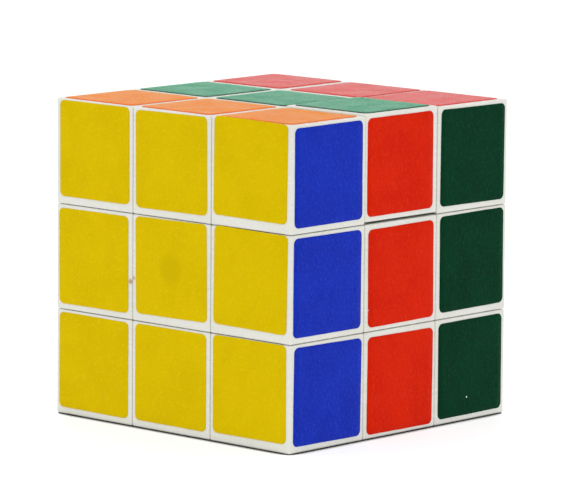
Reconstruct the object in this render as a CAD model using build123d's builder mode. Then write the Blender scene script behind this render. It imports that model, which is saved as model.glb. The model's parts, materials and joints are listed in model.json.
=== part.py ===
from build123d import *
from itertools import product
import os

# A three-layer twisty puzzle cube.
#
# Frame: the origin is the point where the six turning axes meet, at the cube's centre.
# +Z is up, -Y is the front, +X is the right. All sizes are in millimetres.
#
# Twenty-six pieces sit on a 3 x 3 x 3 grid around a six-armed core spider. Each surface
# between two pieces is either one of the planes that part the layers or a sphere about the
# origin, so any face turns freely about its own axis. Corners and edges are hollow shells,
# each plugged onto a foot that hooks under its neighbours. Centres are held to the spider
# by a screw, a washer and a coil spring, under a cap.

# ---- Driving dimensions ----
PITCH = 19.0                # from one piece's middle to the next
GAP = 0.1                   # between the flat faces of neighbouring pieces
WALL = 1.5                  # plastic thickness of a hollow shell
EDGE_ROUND = 0.3            # rounding of a shell's outer edges

SPLIT_RADIUS = 21.0         # sphere that parts the shells, outside, from the feet, inside
SPLIT_GAP = 0.5             # play across that sphere
FOOT_INNER_RADIUS = 14.0    # hollow ball around the core that the feet stop at
FOOT_SPLIT = 5.6            # plane that parts a turning face's feet from the middle layer
FOOT_GAP = 0.3              # play across that plane
FOOT_ROUND = 0.4            # rounding of a foot's edges

CORNER_PIN_RADIUS = 2.5     # round pin that plugs a corner's foot into its shell
EDGE_PIN = (8.0, 5.0)       # flat pin of an edge's foot: along the edge, and across it
PIN_END = 25.0              # how far from the origin the pins reach
PIN_ROOT = 1.0              # how deep a pin is rooted in its foot
PIN_CHAMFER = 0.5
PIN_FIT = 0.05              # play around a pin in its socket

STEM_RADIUS = 5.3           # round stem of a centre, turning between the feet
STEM_START = 13.0           # foot of the stem, measured from the origin
STEM_END = 24.5             # rim of the stem inside the centre
CUP_RADIUS = 4.2            # spring cup inside the stem
CUP_FLOOR = 15.0            # face that the spring presses on
SCREW_HOLE_RADIUS = 1.35    # through the cup's floor

CAP_THICKNESS = 2.0
CAP_ROUND = 0.29            # rounding of a cap's outer edges
CAP_LIP = (1.0, 1.5)        # thickness and depth of the lip that holds the cap in place
CAP_FIT = 0.05              # play between the lip and the centre's walls

HUB_RADIUS = 6.5
ARM_RADIUS = 3.6
ARM_END = 12.6              # tip of an arm, just short of the stem
ARM_BORE_RADIUS = 1.25
ARM_BORE_START = 4.0
HUB_BLEND = 0.8             # rounding where an arm leaves the hub

SCREW_RADIUS = 1.2
SCREW_START = 5.0
SCREW_SEAT = 21.2           # underside of the screw's head
HEAD_RADIUS = 2.9
HEAD_HEIGHT = 2.0
HEAD_ROUND = 0.9
DRIVE_SLOT = (3.4, 0.8, 1.1)    # one bar of the cross recess: length, width and depth

WASHER_RADIUS = 3.7
WASHER_THICKNESS = 0.5
WASHER_FIT = 0.05           # play around the screw
WIRE_RADIUS = 0.3
COIL_RADIUS = 2.3           # from the screw's axis to the middle of the wire
COIL_TURNS = 5.5
COIL_CLEARANCE = 0.05       # at each end of the spring

# Pieces that sit loose, within the play around them: how far each is off its place.
LOOSE_SEATS = {
    "top_right_edge": (0, -0.08, 0.34),
}

# ---- Sizes that follow ----
PIECE = PITCH - GAP                         # side of one piece
OUTER = PITCH + PIECE / 2                   # from the origin to the plastic's outer faces
FLOOR_RADIUS = SPLIT_RADIUS + SPLIT_GAP / 2         # curved floor of every shell
FOOT_RADIUS = SPLIT_RADIUS - SPLIT_GAP / 2          # curved top of every foot
FOOT_START = FOOT_SPLIT + FOOT_GAP / 2      # inner faces of a turning face's feet
FOOT_HALF = FOOT_SPLIT - FOOT_GAP / 2       # half the width of a middle layer's foot
CAP_SEAT = OUTER - CAP_THICKNESS            # face of the centre that the cap lies on

# Each side of the cube, as its outward direction.
SIDES = {
    (-1, 0, 0): "left", (1, 0, 0): "right",
    (0, -1, 0): "front", (0, 1, 0): "back",
    (0, 0, -1): "bottom", (0, 0, 1): "top",
}
KINDS = {1: "centre", 2: "edge", 3: "corner"}


def outer_sides(grid):
    """How many outer faces the piece at a grid place has."""
    return sum(map(abs, grid))


def piece_name(grid):
    """Name of the piece at a grid place, such as top_front_right_corner for (1, -1, 1)."""
    place = Vector(*grid)
    words = [SIDES[side] for side in reversed(SIDES) if place.dot(Vector(*side)) > 0]
    return "_".join(words + [KINDS[outer_sides(grid)]])


def outward_plane(grid, distance):
    """Plane square to the line from the origin towards a grid place, this far out.

    For an edge, the plane's x direction runs along the edge.
    """
    if outer_sides(grid) == 2:
        along = [1 - abs(step) for step in grid]
        plane = Plane(origin=(0, 0, 0), x_dir=along, z_dir=grid)
    else:
        plane = Plane(origin=(0, 0, 0), z_dir=grid)
    return plane.offset(distance)


def pin(grid, fit=0.0):
    """Pin of a corner's or an edge's foot, or its socket when fit is the play around it."""
    with BuildPart() as shape:
        with BuildSketch(outward_plane(grid, FOOT_RADIUS - PIN_ROOT)):
            if outer_sides(grid) == 3:
                Circle(CORNER_PIN_RADIUS + fit)
            else:
                Rectangle(EDGE_PIN[0] + 2 * fit, EDGE_PIN[1] + 2 * fit)
        extrude(amount=PIN_END + fit - FOOT_RADIUS + PIN_ROOT)
        if not fit:
            tip = shape.faces().sort_by(lambda face: (face.center() - Vector()).length)[-1]
            chamfer(tip.edges(), PIN_CHAMFER)
    return shape.part


def shell_hollow(grid):
    """Space inside a shell, one wall in from its flat faces and from its curved floor."""
    inner = PIECE - 2 * WALL
    with BuildPart() as space:
        with Locations([Vector(*grid) * PITCH]):
            Box(inner, inner, inner)
        Sphere(FLOOR_RADIUS + WALL, mode=Mode.SUBTRACT)
    return space.part


def plastic_shell(grid):
    """Hollow shell of a corner or an edge, with the socket for its foot's pin."""
    hollow = shell_hollow(grid)
    socket = pin(grid, PIN_FIT)
    with BuildPart() as shell:
        with Locations([Vector(*grid) * PITCH]):
            Box(PIECE, PIECE, PIECE)
        fillet(shell.edges(), EDGE_ROUND)
        Sphere(FLOOR_RADIUS, mode=Mode.SUBTRACT)
        add(hollow, mode=Mode.SUBTRACT)
        add(socket, mode=Mode.SUBTRACT)
    return shell.part


def foot(grid):
    """Foot of a corner or an edge: a block of a spherical shell, and the pin on it."""
    plug = pin(grid)
    spans = [(FOOT_START, FOOT_RADIUS) if side else (-FOOT_HALF, FOOT_HALF) for side in grid]
    middle = [(low + high) / 2 * (side or 1) for (low, high), side in zip(spans, grid)]
    with BuildPart() as hook:
        with Locations([Vector(*middle)]):
            Box(*[high - low for low, high in spans])
        Sphere(FOOT_RADIUS, mode=Mode.INTERSECT)
        Sphere(FOOT_INNER_RADIUS, mode=Mode.SUBTRACT)
        fillet(hook.edges(), FOOT_ROUND)
        add(plug)
    return hook.part


def centre_body(grid):
    """Centre piece: a square box with a curved floor, and the round stem with its cup."""
    inner = PIECE - 2 * WALL
    with BuildPart() as space:
        with BuildSketch(outward_plane(grid, STEM_START)):
            Rectangle(inner, inner)
        extrude(amount=CAP_SEAT - STEM_START)
        Sphere(FLOOR_RADIUS + WALL, mode=Mode.SUBTRACT)
    with BuildPart() as body:
        with BuildSketch(outward_plane(grid, STEM_START)):
            RectangleRounded(PIECE, PIECE, EDGE_ROUND)
        extrude(amount=CAP_SEAT - STEM_START)
        Sphere(FLOOR_RADIUS, mode=Mode.SUBTRACT)
        add(space.part, mode=Mode.SUBTRACT)
        with BuildSketch(outward_plane(grid, STEM_START)):
            Circle(STEM_RADIUS)
        extrude(amount=STEM_END - STEM_START)
        with BuildSketch(outward_plane(grid, CUP_FLOOR)):
            Circle(CUP_RADIUS)
        extrude(amount=CAP_SEAT - CUP_FLOOR, mode=Mode.SUBTRACT)
        with BuildSketch(outward_plane(grid, STEM_START)):
            Circle(SCREW_HOLE_RADIUS)
        extrude(amount=CUP_FLOOR - STEM_START, mode=Mode.SUBTRACT)
    return body.part


def centre_cap(grid):
    """Square cap of a centre piece, with a lip that fits inside the centre's walls."""
    lip_side = PIECE - 2 * WALL - 2 * CAP_FIT
    lip_wall, lip_depth = CAP_LIP
    with BuildPart() as cap:
        with BuildSketch(outward_plane(grid, CAP_SEAT)):
            RectangleRounded(PIECE, PIECE, EDGE_ROUND)
        extrude(amount=CAP_THICKNESS)
        top = cap.faces().sort_by(Axis((0, 0, 0), grid))[-1]
        fillet(top.edges(), CAP_ROUND)
        with BuildSketch(outward_plane(grid, CAP_SEAT - lip_depth)):
            Rectangle(lip_side, lip_side)
            Rectangle(lip_side - 2 * lip_wall, lip_side - 2 * lip_wall, mode=Mode.SUBTRACT)
        extrude(amount=lip_depth)
    return cap.part


def core_spider():
    """Hub with six bored arms, one along each turning axis."""
    with BuildPart() as spider:
        Sphere(HUB_RADIUS)
        for side in SIDES:
            with BuildSketch(outward_plane(side, 0)):
                Circle(ARM_RADIUS)
            extrude(amount=ARM_END)
        rings = spider.edges().filter_by(GeomType.CIRCLE)
        fillet(rings.filter_by(lambda ring: ring.arc_center.length < HUB_RADIUS), HUB_BLEND)
        for side in SIDES:
            with BuildSketch(outward_plane(side, ARM_BORE_START)):
                Circle(ARM_BORE_RADIUS)
            extrude(amount=ARM_END - ARM_BORE_START, mode=Mode.SUBTRACT)
    return spider.part


def screws():
    """Six pan-head screws with a cross recess, one down each turning axis."""
    slot_length, slot_width, slot_depth = DRIVE_SLOT
    with BuildPart() as group:
        for side in SIDES:
            with BuildSketch(outward_plane(side, SCREW_START)):
                Circle(SCREW_RADIUS)
            extrude(amount=SCREW_SEAT - SCREW_START)
            with BuildSketch(outward_plane(side, SCREW_SEAT)):
                Circle(HEAD_RADIUS)
            extrude(amount=HEAD_HEIGHT)
            top = group.faces().sort_by(Axis((0, 0, 0), side))[-1]
            fillet(top.edges(), HEAD_ROUND)
            with BuildSketch(outward_plane(side, SCREW_SEAT + HEAD_HEIGHT - slot_depth)):
                Rectangle(slot_length, slot_width)
                Rectangle(slot_width, slot_length)
            extrude(amount=slot_depth, mode=Mode.SUBTRACT)
    return group.part


def washers():
    """Six flat washers under the screws' heads."""
    with BuildPart() as group:
        for side in SIDES:
            with BuildSketch(outward_plane(side, SCREW_SEAT - WASHER_THICKNESS)):
                Circle(WASHER_RADIUS)
                Circle(SCREW_RADIUS + WASHER_FIT, mode=Mode.SUBTRACT)
            extrude(amount=WASHER_THICKNESS)
    return group.part


def springs():
    """Six coil springs, each between a centre's cup floor and its washer."""
    low = CUP_FLOOR + COIL_CLEARANCE + WIRE_RADIUS
    high = SCREW_SEAT - WASHER_THICKNESS - COIL_CLEARANCE - WIRE_RADIUS
    with BuildPart() as spring:
        with BuildLine() as path:
            Helix((high - low) / COIL_TURNS, high - low, COIL_RADIUS, center=(0, 0, low))
        with BuildSketch(Plane(origin=path.line @ 0, z_dir=path.line % 0)):
            Circle(WIRE_RADIUS)
        sweep(path=path.line, is_frenet=True)
    with BuildPart() as group:
        with Locations([outward_plane(side, 0).location for side in SIDES]):
            add(spring.part)
    return group.part


def export(part, piece, role=""):
    """Write one sub-part of a piece under its node name, where the piece sits."""
    part = part.moved(Location(LOOSE_SEATS.get(piece, (0, 0, 0))))
    part.label = "_".join(filter(None, (piece, role)))
    export_step(part, f"parts/{part.label}.step")


os.makedirs("parts", exist_ok=True)

for place in product((-1, 0, 1), repeat=3):
    sides = outer_sides(place)
    if sides == 1:
        export(centre_body(place), piece_name(place), "body")
        export(centre_cap(place), piece_name(place), "cap")
    elif sides > 1:
        export(plastic_shell(place), piece_name(place), "shell")
        export(foot(place), piece_name(place), "foot")

export(core_spider(), "core_spider")
export(screws(), "centre_screws")
export(washers(), "spring_washers")
export(springs(), "centre_springs")
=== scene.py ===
import json
import math
import random
import bmesh
import bpy
from mathutils import Matrix, Vector, noise

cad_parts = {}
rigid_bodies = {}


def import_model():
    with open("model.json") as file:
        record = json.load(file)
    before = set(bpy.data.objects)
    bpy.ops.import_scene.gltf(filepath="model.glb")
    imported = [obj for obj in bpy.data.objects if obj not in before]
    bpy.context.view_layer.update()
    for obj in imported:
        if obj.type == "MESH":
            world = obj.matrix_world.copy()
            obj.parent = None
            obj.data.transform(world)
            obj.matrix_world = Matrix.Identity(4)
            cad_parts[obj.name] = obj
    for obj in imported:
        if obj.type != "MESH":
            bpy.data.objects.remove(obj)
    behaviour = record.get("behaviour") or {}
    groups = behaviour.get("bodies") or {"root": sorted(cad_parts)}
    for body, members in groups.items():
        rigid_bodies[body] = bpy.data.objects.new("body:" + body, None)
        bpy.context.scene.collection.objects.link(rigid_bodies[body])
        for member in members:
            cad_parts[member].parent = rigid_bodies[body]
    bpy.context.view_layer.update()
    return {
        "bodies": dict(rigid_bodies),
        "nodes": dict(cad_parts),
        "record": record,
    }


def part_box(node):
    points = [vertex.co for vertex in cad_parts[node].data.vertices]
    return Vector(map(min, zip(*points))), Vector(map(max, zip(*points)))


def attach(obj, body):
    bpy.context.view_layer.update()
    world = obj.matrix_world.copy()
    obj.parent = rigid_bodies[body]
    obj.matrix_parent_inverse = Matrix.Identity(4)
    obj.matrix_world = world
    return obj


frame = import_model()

# The twisty puzzle cube as it is seen: its plastic, metal and vinyl materials, and its 54
# vinyl stickers. The pieces themselves come from the frame. Lengths are in metres.

MM = 0.001

# ---- Where things are, from the frame ----
SIDES = {                           # axis and direction of each side
    "left": (0, -1), "right": (0, 1),
    "front": (1, -1), "back": (1, 1),
    "bottom": (2, -1), "top": (2, 1),
}
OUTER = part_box("top_centre_cap")[1][2]          # plastic's outer faces, from the centre
EDGE_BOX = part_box("bottom_right_edge_shell")
PITCH = (EDGE_BOX[0][0] + EDGE_BOX[1][0]) / 2   # from one piece's middle to the next one's

# ---- Stickers ----
STICKER_SIDE = 17.25 * MM
STICKER_CORNER = 1.0 * MM           # radius of a sticker's corners
STICKER_THICK = 0.1 * MM
STICKER_ROLL = 0.04 * MM            # rounding of a sticker's cut edge
STICKER_WAVE = 0.035 * MM           # how far its cut outline wanders
WAVE_SCALE = 260                    # wanders per metre of the outline
STICKER_SHIFT = 0.12 * MM           # how far off its place it may be stuck
STICKER_LIFT = 0.32 * MM            # how much higher than the middle of an upright face
STICKER_TURN = math.radians(0.7)    # how far it may be stuck askew
STICKER_SWELL = 0.012 * MM          # unevenness of its glued-down face
SWELL_LAYERS = [(170, 3.1, 0.7), (620, 1.7, 0.3)]   # swells per metre, step per seed, share
SHARP_ANGLE = math.radians(60)      # edges sharper than this stay sharp
EDGE_STEPS = 16                     # outline steps along a straight edge
CORNER_STEPS = 6                    # outline steps round a corner
INNER_RINGS = 7                     # rings of faces from the edge to the middle

# Colour of the sticker on each side of the outer layers, by slab from front to back.
SLABS = {
    "front": {"top": "orange", "right": "blue", "bottom": "red", "left": "green"},
    "middle": {"top": "green", "right": "red", "bottom": "blue", "left": "orange"},
    "back": {"top": "red", "right": "green", "bottom": "orange", "left": "blue"},
}
FACE_COLOURS = {"front": "yellow", "back": "white"}

# Pieces that sit loose: how far each is off its place, in millimetres.
LOOSE_SEATS = {"top_right_edge": (0, -0.08, 0.34)}

# Stickers that are plainly off their place, and by how much, in millimetres.
MISPLACED = {
    ("top_front_left_corner", "front"): (0, 0, 0.3),
    ("top_front_edge", "front"): (0, 0, 0.15),
    ("top_front_right_corner", "front"): (0, 0, 0.7),
    ("front_centre", "front"): (0, 0, 0.3),
    ("front_right_edge", "front"): (0, 0, 0.6),
    ("bottom_front_edge", "front"): (0, 0, 0.15),
    ("bottom_front_right_corner", "front"): (0, 0, 0.4),
    ("top_back_edge", "top"): (0.4, 0, 0),
    ("top_back_right_corner", "top"): (-0.4, 0, 0),
    ("top_right_edge", "right"): (0, -0.45, -0.15),
    ("right_centre", "right"): (0, 0, -0.4),
    ("bottom_right_edge", "right"): (0, 0, -0.4),
    ("bottom_back_right_corner", "right"): (0, 0, -0.2),
}
IN_PLACE = (0, 0, 0)


def side_vector(side):
    """Unit vector out of a side of the cube."""
    axis, sign = SIDES[side]
    vector = Vector((0, 0, 0))
    vector[axis] = sign
    return vector


def sides_of(body):
    """The sides that a corner, an edge or a centre shows, from its body's name."""
    return [word for word in body.split("_") if word in SIDES]


def sticker_colour(body, side):
    """Colour of the sticker that a body carries on one of its sides."""
    if side in FACE_COLOURS:
        return FACE_COLOURS[side]
    slab = next((word for word in sides_of(body) if word in FACE_COLOURS), "middle")
    return SLABS[slab][side]


# ---- Node helpers ----
def add_node(tree, kind, inputs=None, **settings):
    """A shader node, with its settings and its input values or links."""
    node = tree.nodes.new(kind)
    for key, value in settings.items():
        setattr(node, key, value)
    for key, value in (inputs or {}).items():
        if isinstance(value, bpy.types.NodeSocket):
            tree.links.new(value, node.inputs[key])
        else:
            node.inputs[key].default_value = value
    return node


def math_node(tree, operation, first, second):
    """Result of one sum on numbers or sockets."""
    node = add_node(tree, "ShaderNodeMath", {0: first, 1: second}, operation=operation)
    return node.outputs[0]


def noise_node(tree, coordinates, scale, detail=3.0, roughness=0.55, stretch=None):
    """Noise over the object's own coordinates; scale is in features per metre."""
    if stretch:
        mapping = add_node(tree, "ShaderNodeMapping", {"Vector": coordinates, "Scale": stretch})
        coordinates = mapping.outputs[0]
    node = add_node(tree, "ShaderNodeTexNoise", {
        "Vector": coordinates, "Scale": scale, "Detail": detail, "Roughness": roughness})
    return node.outputs["Fac"]


def ramp(tree, value, low, high, out_low=0.0, out_high=1.0):
    """Value from low to high spread over out_low to out_high, smoothly and clamped."""
    node = add_node(tree, "ShaderNodeMapRange", {
        "Value": value, "From Min": low, "From Max": high,
        "To Min": out_low, "To Max": out_high}, interpolation_type="SMOOTHSTEP")
    return node.outputs[0]


def mix_colour(tree, factor, first, second):
    """Two colours, or colour sockets, mixed by a factor."""
    node = add_node(tree, "ShaderNodeMix", data_type="RGBA")
    for socket, value in zip((node.inputs[0], node.inputs[6], node.inputs[7]),
                             (factor, first, second)):
        if isinstance(value, bpy.types.NodeSocket):
            tree.links.new(value, socket)
        else:
            socket.default_value = value
    return node.outputs[2]


def new_material(name):
    """Empty node material, its Principled shader, and the object's own coordinates."""
    material = bpy.data.materials.new(name)
    material.use_nodes = True
    tree = material.node_tree
    shader = tree.nodes["Principled BSDF"]
    coordinates = tree.nodes.new("ShaderNodeTexCoord").outputs["Object"]
    return material, tree, shader, coordinates


def bump(tree, shader, layers):
    """Stack bumps on a shader: each layer is a height socket and its depth in metres."""
    normal = None
    for height, depth in layers:
        inputs = {"Height": height, "Distance": depth, "Strength": 1.0}
        if normal:
            inputs["Normal"] = normal
        normal = add_node(tree, "ShaderNodeBump", inputs).outputs[0]
    tree.links.new(normal, shader.inputs["Normal"])


def linear(red, green, blue):
    """Linear colour, with alpha, of an sRGB one given in 0 to 255."""
    values = [channel / 255 for channel in (red, green, blue)]
    curve = [v / 12.92 if v <= 0.04045 else ((v + 0.055) / 1.055) ** 2.4 for v in values]
    return (*curve, 1.0)


def spot(tree, coordinates, place, radius, soft, ragged):
    """Mask of a round mark about a place: 1 inside the radius, 0 outside its soft edge."""
    offset = add_node(tree, "ShaderNodeVectorMath", {0: coordinates, 1: place},
                      operation="DISTANCE").outputs["Value"]
    if ragged:
        wander = noise_node(tree, coordinates, MARK_EDGE, 2.0)
        offset = math_node(tree, "ADD", offset, math_node(tree, "MULTIPLY", wander, ragged))
    return ramp(tree, offset, radius, radius + soft, 1.0, 0.0)


# ---- Materials ----
# Noise scales, in features per metre.
PLASTIC_CLOUDS = 90.0
PLASTIC_FLECKS = 2600.0
PLASTIC_SMEARS = 260.0
PLASTIC_PEEL = 900.0                # the gentle ripple of a moulded face
PLASTIC_TEXTURE = 7000.0
VINYL_MOTTLE = 160.0
VINYL_GRAIN = 1900.0
VINYL_RUBS = 420.0
VINYL_STREAKS = 600.0
VINYL_CROSS_STREAKS = 500.0
VINYL_HAZE = 210.0
VINYL_RIPPLE = 420.0
STEEL_TARNISH = 700.0
SCREW_GRAIN = 1800.0
SPRING_GRAIN = 5400.0
MARK_EDGE = 1400.0                  # raggedness of a mark's outline
PAPER_CLOUDS = 3.0

# How much finer the smears and scratches are along x, y and z than their scale says.
SMEAR_STRETCH = (1.0, 1.0, 3.0)
STREAK_STRETCH = (1.0, 1.0, 14.0)
CROSS_STRETCH = (12.0, 12.0, 1.0)

# Depths of the bumps.
PEEL_DEPTH = 0.012 * MM
TEXTURE_DEPTH = 0.003 * MM
RIPPLE_DEPTH = 0.030 * MM
GRAIN_DEPTH = 0.090 * MM
SCRATCH_DEPTH = 0.002 * MM
STEEL_DEPTH = 0.004 * MM

PLASTIC_IOR = 1.53
PLASTIC_GLOSS = (-0.06, 0.09)       # how far its roughness strays either way
SCATTER_WEIGHT = 0.12               # share of light that passes through the plastic's skin
SCATTER_DEPTH = 1.2 * MM
SCATTER_REACH = (1.0, 0.9, 0.7)     # how deep red, green and blue light goes
FLECK_TONE = linear(186, 182, 168)
# Darker tone of the plastic's hollows and seams: grime and painted shade
GRIME_AND_SHADE_TONE = linear(140, 138, 130)

VINYL_IOR = 1.5
VINYL_GLOSS = (0.14, 0.30)          # its roughness, from where it is shiny to where it is dull
SHEEN_ROUGHNESS = 0.3
STEEL_GLOSS = (-0.07, 0.12)         # how far its roughness strays either way

# Marks on the white plastic: place, radius, soft edge, ragged outline and colour.
PLASTIC_MARKS = [
    ((-10.0 * MM, -OUTER, -2.6 * MM), 0.35 * MM, 0.6 * MM, 0.5 * MM, linear(168, 132, 78)),
    ((-9.1 * MM, -OUTER, -1.9 * MM), 0.2 * MM, 0.5 * MM, 0.4 * MM, linear(180, 150, 104)),
]
# The same for the stickers: a darker round patch on the front centre, and two chips that show
# white.
STICKER_TOP = OUTER + STICKER_THICK
STICKER_MARKS = {
    "yellow": [
        ((0.0, -STICKER_TOP, 0.6 * MM), 2.0 * MM, 2.0 * MM, 0.9 * MM, linear(198, 171, 0)),
    ],
    "red": [
        ((STICKER_TOP, -8.6 * MM, -5.6 * MM), 0.07 * MM, 0.08 * MM, 0.0, linear(232, 226, 222)),
    ],
    "green": [
        ((STICKER_TOP, 18.1 * MM, -24.3 * MM), 0.10 * MM, 0.1 * MM, 0.0, linear(226, 236, 228)),
    ],
}


def marked(tree, coordinates, tone, marks):
    """A tone with round marks laid over it."""
    for place, radius, soft, ragged, stain in marks:
        tone = mix_colour(tree, spot(tree, coordinates, place, radius, soft, ragged), tone, stain)
    return tone


def plastic(name, colour, shade, rough, marks=()):
    """Moulded plastic: mottled colour, flecks, grime and painted shade in its hollows, and
    moulding texture.
    """
    material, tree, shader, coordinates = new_material(name)
    cloudy = noise_node(tree, coordinates, PLASTIC_CLOUDS, 4.0)
    flecks = noise_node(tree, coordinates, PLASTIC_FLECKS, 2.0)
    pointiness = tree.nodes.new("ShaderNodeNewGeometry").outputs["Pointiness"]
    tone = mix_colour(tree, ramp(tree, cloudy, 0.38, 0.66), colour, shade)
    speck = ramp(tree, flecks, 0.70, 0.78, 0.0, 0.15)
    tone = mix_colour(tree, speck, tone, FLECK_TONE)
    # Darker where the surface bends inward: grime and painted shade in the hollows and seams
    hollow_grime_and_shade = ramp(tree, pointiness, 0.38, 0.48, 0.3, 0.0)
    tone = mix_colour(tree, hollow_grime_and_shade, tone, GRIME_AND_SHADE_TONE)
    tree.links.new(marked(tree, coordinates, tone, marks), shader.inputs["Base Color"])
    smears = noise_node(tree, coordinates, PLASTIC_SMEARS, 3.0, stretch=SMEAR_STRETCH)
    gloss = ramp(tree, smears, 0.35, 0.70, rough + PLASTIC_GLOSS[0], rough + PLASTIC_GLOSS[1])
    tree.links.new(gloss, shader.inputs["Roughness"])
    shader.inputs["IOR"].default_value = PLASTIC_IOR
    shader.inputs["Subsurface Weight"].default_value = SCATTER_WEIGHT
    shader.inputs["Subsurface Scale"].default_value = SCATTER_DEPTH
    shader.inputs["Subsurface Radius"].default_value = SCATTER_REACH
    orange_peel = noise_node(tree, coordinates, PLASTIC_PEEL, 2.0)
    texture = noise_node(tree, coordinates, PLASTIC_TEXTURE, 2.0)
    bump(tree, shader, [(orange_peel, PEEL_DEPTH), (texture, TEXTURE_DEPTH)])
    return material


def vinyl(name, tones, shine, marks=()):
    """Glossy sticker vinyl: ink mottle, rubbed patches, fine grain and hairline scratches."""
    colour, deep, worn = tones
    specular, sheen, tint = shine
    material, tree, shader, coordinates = new_material(name)
    mottle = noise_node(tree, coordinates, VINYL_MOTTLE, 5.0, 0.6)
    grain = noise_node(tree, coordinates, VINYL_GRAIN, 3.0)
    rubs = noise_node(tree, coordinates, VINYL_RUBS, 6.0, 0.7)
    tone = mix_colour(tree, ramp(tree, mottle, 0.36, 0.68), colour, deep)
    tone = mix_colour(tree, ramp(tree, grain, 0.50, 0.72, 0.0, 0.8), tone, worn)
    tone = mix_colour(tree, ramp(tree, rubs, 0.74, 0.86, 0.0, 0.2), tone, worn)
    tree.links.new(marked(tree, coordinates, tone, marks), shader.inputs["Base Color"])
    streaks = noise_node(tree, coordinates, VINYL_STREAKS, 2.0, stretch=STREAK_STRETCH)
    across = noise_node(tree, coordinates, VINYL_CROSS_STREAKS, 2.0, stretch=CROSS_STRETCH)
    haze = noise_node(tree, coordinates, VINYL_HAZE, 4.0)
    gloss = ramp(tree, haze, 0.30, 0.72, *VINYL_GLOSS)
    tree.links.new(gloss, shader.inputs["Roughness"])
    shader.inputs["IOR"].default_value = VINYL_IOR
    shader.inputs["Specular IOR Level"].default_value = specular
    shader.inputs["Sheen Weight"].default_value = sheen
    shader.inputs["Sheen Roughness"].default_value = SHEEN_ROUGHNESS
    shader.inputs["Sheen Tint"].default_value = (*tint, 1.0)
    scratches = ramp(tree, streaks, 0.70, 0.74, 0.0, 1.0)
    scratches_across = ramp(tree, across, 0.72, 0.76, 0.0, 1.0)
    ripple = noise_node(tree, coordinates, VINYL_RIPPLE, 3.0)
    bump(tree, shader, [
        (ripple, RIPPLE_DEPTH), (grain, GRAIN_DEPTH),
        (scratches, -SCRATCH_DEPTH), (scratches_across, -SCRATCH_DEPTH)])
    return material


def steel(name, colour, dark, rough, fineness):
    """Plated steel: faint tarnish, uneven gloss and a fine grain."""
    material, tree, shader, coordinates = new_material(name)
    tarnish = ramp(tree, noise_node(tree, coordinates, STEEL_TARNISH, 4.0), 0.42, 0.70)
    tree.links.new(mix_colour(tree, tarnish, colour, dark), shader.inputs["Base Color"])
    grain = noise_node(tree, coordinates, fineness, 3.0)
    gloss = ramp(tree, grain, 0.3, 0.7, rough + STEEL_GLOSS[0], rough + STEEL_GLOSS[1])
    tree.links.new(gloss, shader.inputs["Roughness"])
    shader.inputs["Metallic"].default_value = 1.0
    bump(tree, shader, [(grain, STEEL_DEPTH)])
    return material


# Each vinyl's colour, its darker mottle and its paler worn tone.
STICKER_TONES = {
    "yellow": (linear(208, 179, 0), linear(203, 174, 0), linear(214, 187, 10)),
    "white": (linear(234, 235, 236), linear(227, 228, 228), linear(240, 241, 243)),
    "orange": (linear(228, 98, 4), linear(220, 92, 2), linear(232, 110, 18)),
    "red": (linear(206, 32, 2), linear(198, 27, 0), linear(210, 44, 14)),
    "green": (linear(0, 48, 26), linear(0, 42, 22), linear(8, 60, 36)),
    "blue": (linear(10, 42, 170), linear(8, 37, 160), linear(26, 52, 180)),
}
# How each vinyl shines at a low angle: specular level, sheen weight and sheen tint.
STICKER_SHINE = {
    "yellow": (0.014, 0.5, (1.0, 0.8, 0.0)),
    "white": (0.06, 0.5, (1.0, 1.0, 1.0)),
    "orange": (0.014, 0.5, (1.0, 0.64, 0.0)),
    "red": (0.02, 0.5, (1.0, 0.37, 0.38)),
    "green": (0.02, 0.7, (0.19, 1.0, 0.55)),
    "blue": (0.06, 0.5, (0.1, 0.2, 1.0)),
}


def make_materials():
    """Every material, by the record slot or the sticker that uses it."""
    made = {
        "shell_white": plastic("shell_plastic", linear(217, 217, 209), linear(213, 213, 204),
                               0.27, PLASTIC_MARKS),
        "foot_white": plastic("foot_plastic", linear(226, 223, 206), linear(214, 210, 188), 0.38),
        "core_white": plastic("core_plastic", linear(218, 214, 198), linear(204, 200, 180), 0.42),
        "screw_steel": steel("screw_steel", linear(190, 188, 182), linear(150, 146, 138),
                             0.30, SCREW_GRAIN),
        "spring_steel": steel("spring_steel", linear(176, 176, 178), linear(128, 126, 124),
                              0.26, SPRING_GRAIN),
    }
    for colour, tones in STICKER_TONES.items():
        made["sticker_" + colour] = vinyl(colour + "_vinyl", tones, STICKER_SHINE[colour],
                                          STICKER_MARKS.get(colour, ()))
    return made


def dress_nodes(materials):
    """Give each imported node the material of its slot."""
    for subpart in frame["record"]["subparts"]:
        node = frame["nodes"][subpart["node"]]
        node.data.materials.clear()
        node.data.materials.append(materials[subpart["material_slot"]])


# ---- Sticker meshes ----
def outline(side, corner, seed):
    """Points round a rounded square, each pushed a little in or out, as a die cut wanders."""
    half = side / 2 - corner
    points = []
    for quarter in range(4):
        turn = math.pi / 2 * quarter
        middle = Matrix.Rotation(turn, 2) @ Vector((half, half))
        for step in range(CORNER_STEPS + 1):
            angle = turn + math.pi / 2 * step / CORNER_STEPS
            points.append(middle + corner * Vector((math.cos(angle), math.sin(angle))))
        start = points[-1]
        following = Matrix.Rotation(turn + math.pi / 2, 2) @ Vector((half + corner, half))
        for step in range(1, EDGE_STEPS):
            points.append(start.lerp(following, step / EDGE_STEPS))
    wavy = []
    for point in points:
        place = Vector((point.x * WAVE_SCALE, point.y * WAVE_SCALE, seed))
        wavy.append(point * (1 + STICKER_WAVE / side * 2 * noise.noise(place)))
    return wavy


def swell(point, seed):
    """Height that a glued sticker's face wanders to at a point."""
    height = 0.0
    for scale, seed_step, share in SWELL_LAYERS:
        height += share * noise.noise(Vector((point.x * scale, point.y * scale, seed * seed_step)))
    return STICKER_SWELL * height


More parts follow.
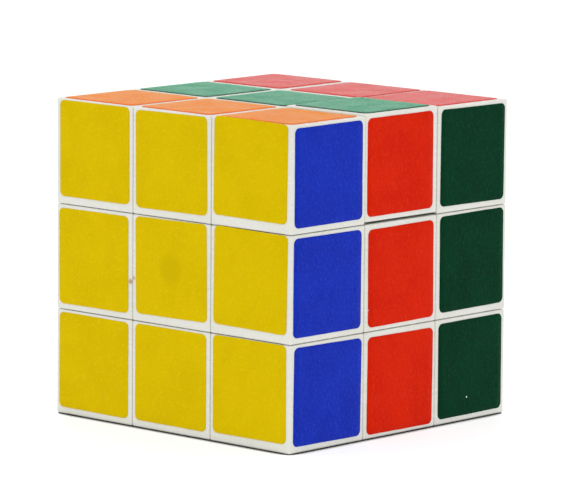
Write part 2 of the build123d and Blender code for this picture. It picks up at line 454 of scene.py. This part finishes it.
def sticker_mesh(name, seed):
    """A thin rounded-square plate with a rolled edge and a slightly uneven face."""
    rim = outline(STICKER_SIDE, STICKER_CORNER, seed)
    shape = bmesh.new()
    half_roll = STICKER_ROLL * (1 - math.sqrt(0.5))     # the rolled edge at 45 degrees
    profile = [(0.0, 0.0), (0.0, STICKER_THICK - STICKER_ROLL),
               (half_roll, STICKER_THICK - half_roll), (STICKER_ROLL, STICKER_THICK)]
    rings = []
    for inset, height in profile:
        scale = 1 - inset / (STICKER_SIDE / 2)
        rings.append([(point * scale, height) for point in rim])
    face_scale = 1 - STICKER_ROLL / (STICKER_SIDE / 2)
    for ring in range(1, INNER_RINGS):
        scale = face_scale * (1 - ring / INNER_RINGS)
        fade = min(1.0, ring / 2)       # the first ring swells half as much as the rest
        rings.append([(point * scale, STICKER_THICK + fade * swell(point * scale, seed))
                      for point in rim])
    layers = [[shape.verts.new((p.x, p.y, height)) for p, height in ring] for ring in rings]
    count = len(rim)
    for low, high in zip(layers, layers[1:]):
        for index in range(count):
            after = (index + 1) % count
            shape.faces.new((low[index], low[after], high[after], high[index]))
    crown = shape.verts.new((0, 0, STICKER_THICK + swell(Vector((0, 0)), seed)))
    under = shape.verts.new((0, 0, 0))
    for index in range(count):
        after = (index + 1) % count
        shape.faces.new((layers[-1][index], layers[-1][after], crown))
        shape.faces.new((layers[0][after], layers[0][index], under))
    mesh = bpy.data.meshes.new(name)
    shape.to_mesh(mesh)
    shape.free()
    mesh.polygons.foreach_set("use_smooth", [True] * len(mesh.polygons))
    mesh.set_sharp_from_angle(angle=SHARP_ANGLE)
    return mesh


def place_sticker(body, side, materials, seed):
    """One sticker on one side of a body, stuck a little off its middle and askew."""
    draw = random.Random(seed)
    outward = side_vector(side)
    middle = Vector(LOOSE_SEATS.get(body, IN_PLACE)) * MM
    for word in sides_of(body):
        middle += side_vector(word) * (OUTER if word == side else PITCH)
    across = side_vector("right") if SIDES[side][0] != 0 else side_vector("back")
    along = outward.cross(across)
    shift = [draw.uniform(-STICKER_SHIFT, STICKER_SHIFT) for _ in range(2)]
    if SIDES[side][0] != 2:
        middle.z += STICKER_LIFT
    turn = Matrix.Rotation(draw.uniform(-STICKER_TURN, STICKER_TURN), 4, outward)
    axes = Matrix((across, along, outward)).transposed().to_4x4()
    middle += across * shift[0] + along * shift[1]
    middle += Vector(MISPLACED.get((body, side), IN_PLACE)) * MM
    mesh = sticker_mesh(f"sticker_{body}_{side}", seed)
    mesh.transform(Matrix.Translation(middle) @ turn @ axes)
    piece = bpy.data.objects.new(mesh.name, mesh)
    bpy.context.scene.collection.objects.link(piece)
    slot = "sticker_" + sticker_colour(body, side)
    mesh.materials.append(materials[slot])
    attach(piece, body)


def place_stickers(materials):
    """The sticker of every side of every corner, edge and centre."""
    pieces = [(body, side) for body in sorted(frame["bodies"]) for side in sides_of(body)]
    for seed, (body, side) in enumerate(pieces, start=1):
        place_sticker(body, side, materials, seed)


# ---- Floor, lights and camera ----
FLOOR_SIZE = 6.0
FLOOR_GLOW = 0.66                   # how brightly the paper is lit from behind, where the painted shadow doesn't dim it
SHADE_REACH = 5.0 * MM              # how near the cube has to be to cast the painted shadow on the paper
PAPER_TONES = (linear(178, 178, 178), linear(172, 172, 172))
# Colour of the painted shadow on the paper under the cube's rim
PAINTED_SHADOW_TONE = linear(60, 56, 54)
SHADE_RAMP = (0.50, 0.62)           # openness at which the painted shadow is full, and at which it is gone
FLOOR_SINK = 0.02 * MM              # how far the floor is below the bottom stickers
PAPER_ROUGHNESS = 0.6
PAPER_SPECULAR = 0.1
LIGHTS = [                          # name, place, size in metres and power in watts
    ("key", (-0.35, -0.75, 0.65), 0.5, 0.5),
    ("fill", (0.80, -0.35, 0.45), 0.5, 0.4),
    ("overhead", (0.0, 0.1, 0.9), 0.7, 0.8),
]
SENSOR_WIDTH = 36.0                 # millimetres
CLIP_START = 10.0 * MM              # nearest thing that the camera sees
VIEW_AZIMUTH = math.radians(42.69)
VIEW_ELEVATION = math.radians(8.5)
VIEW_ROLL = math.radians(0.44)
VIEW_DISTANCE = 837.0 * MM
VIEW_LENS = 296.0                   # millimetres
VIEW_TARGET = (0.43 * MM, 1.00 * MM)    # point looked at: to the right of the origin, and up


def make_floor():
    """Plain pale floor, with a painted shadow where the cube nearly touches it."""
    mesh = bpy.data.meshes.new("floor")
    half = FLOOR_SIZE / 2
    height = -OUTER - STICKER_THICK - FLOOR_SINK
    corners = [(x * half, y * half, height) for x, y in ((-1, -1), (1, -1), (1, 1), (-1, 1))]
    mesh.from_pydata(corners, [], [(0, 1, 2, 3)])
    floor = bpy.data.objects.new("floor", mesh)
    bpy.context.scene.collection.objects.link(floor)
    material, tree, shader, coordinates = new_material("floor_paper")
    cloudy = noise_node(tree, coordinates, PAPER_CLOUDS, 2.0)
    tone = mix_colour(tree, cloudy, *PAPER_TONES)
    # Painted shadow: the paper is darkened and its glow dimmed where the cube is close
    openness = add_node(tree, "ShaderNodeAmbientOcclusion", {"Distance": SHADE_REACH})
    clear = ramp(tree, openness.outputs["AO"], *SHADE_RAMP)
    tree.links.new(mix_colour(tree, clear, PAINTED_SHADOW_TONE, tone), shader.inputs["Base Color"])
    glow = math_node(tree, "MULTIPLY", clear, FLOOR_GLOW)
    tree.links.new(glow, shader.inputs["Emission Strength"])
    shader.inputs["Emission Color"].default_value = (1.0, 1.0, 1.0, 1.0)
    shader.inputs["Roughness"].default_value = PAPER_ROUGHNESS
    shader.inputs["Specular IOR Level"].default_value = PAPER_SPECULAR
    mesh.materials.append(material)


def area_light(name, place, size, power):
    """Soft square light that faces the cube's centre."""
    lamp = bpy.data.lights.new(name, "AREA")
    lamp.size = size
    lamp.energy = power
    light = bpy.data.objects.new(name, lamp)
    light.location = place
    light.rotation_euler = Vector(place).to_track_quat("Z", "Y").to_euler()
    bpy.context.scene.collection.objects.link(light)


def make_lights():
    """White surroundings and three soft lights."""
    world = bpy.data.worlds.new("studio")
    world.use_nodes = True
    backdrop = world.node_tree.nodes["Background"]
    backdrop.inputs["Color"].default_value = (1.0, 1.0, 1.0, 1.0)
    backdrop.inputs["Strength"].default_value = 1.0
    bpy.context.scene.world = world
    for name, place, size, power in LIGHTS:
        area_light(name, place, size, power)


def make_camera():
    """Camera at the viewing angle, far off with a long lens."""
    level = Vector((math.cos(VIEW_AZIMUTH), math.sin(VIEW_AZIMUTH), 0))
    back = Vector((math.sin(VIEW_AZIMUTH) * math.cos(VIEW_ELEVATION),
                   -math.cos(VIEW_AZIMUTH) * math.cos(VIEW_ELEVATION),
                   math.sin(VIEW_ELEVATION)))
    upright = back.cross(level)
    right = math.cos(VIEW_ROLL) * level + math.sin(VIEW_ROLL) * upright
    up = back.cross(right)
    place = level * VIEW_TARGET[0] + Vector((0, 0, VIEW_TARGET[1])) + back * VIEW_DISTANCE
    lens = bpy.data.cameras.new("camera")
    lens.sensor_width = SENSOR_WIDTH
    lens.lens = VIEW_LENS
    lens.clip_start = CLIP_START
    camera = bpy.data.objects.new("camera", lens)
    turn = Matrix((right, up, back)).transposed().to_4x4()
    camera.matrix_world = Matrix.Translation(place) @ turn
    bpy.context.scene.collection.objects.link(camera)
    bpy.context.scene.camera = camera


make_camera()
make_floor()
make_lights()
bpy.context.scene.view_settings.view_transform = "Standard"     # colours as they are
surfaces = make_materials()
dress_nodes(surfaces)
place_stickers(surfaces)
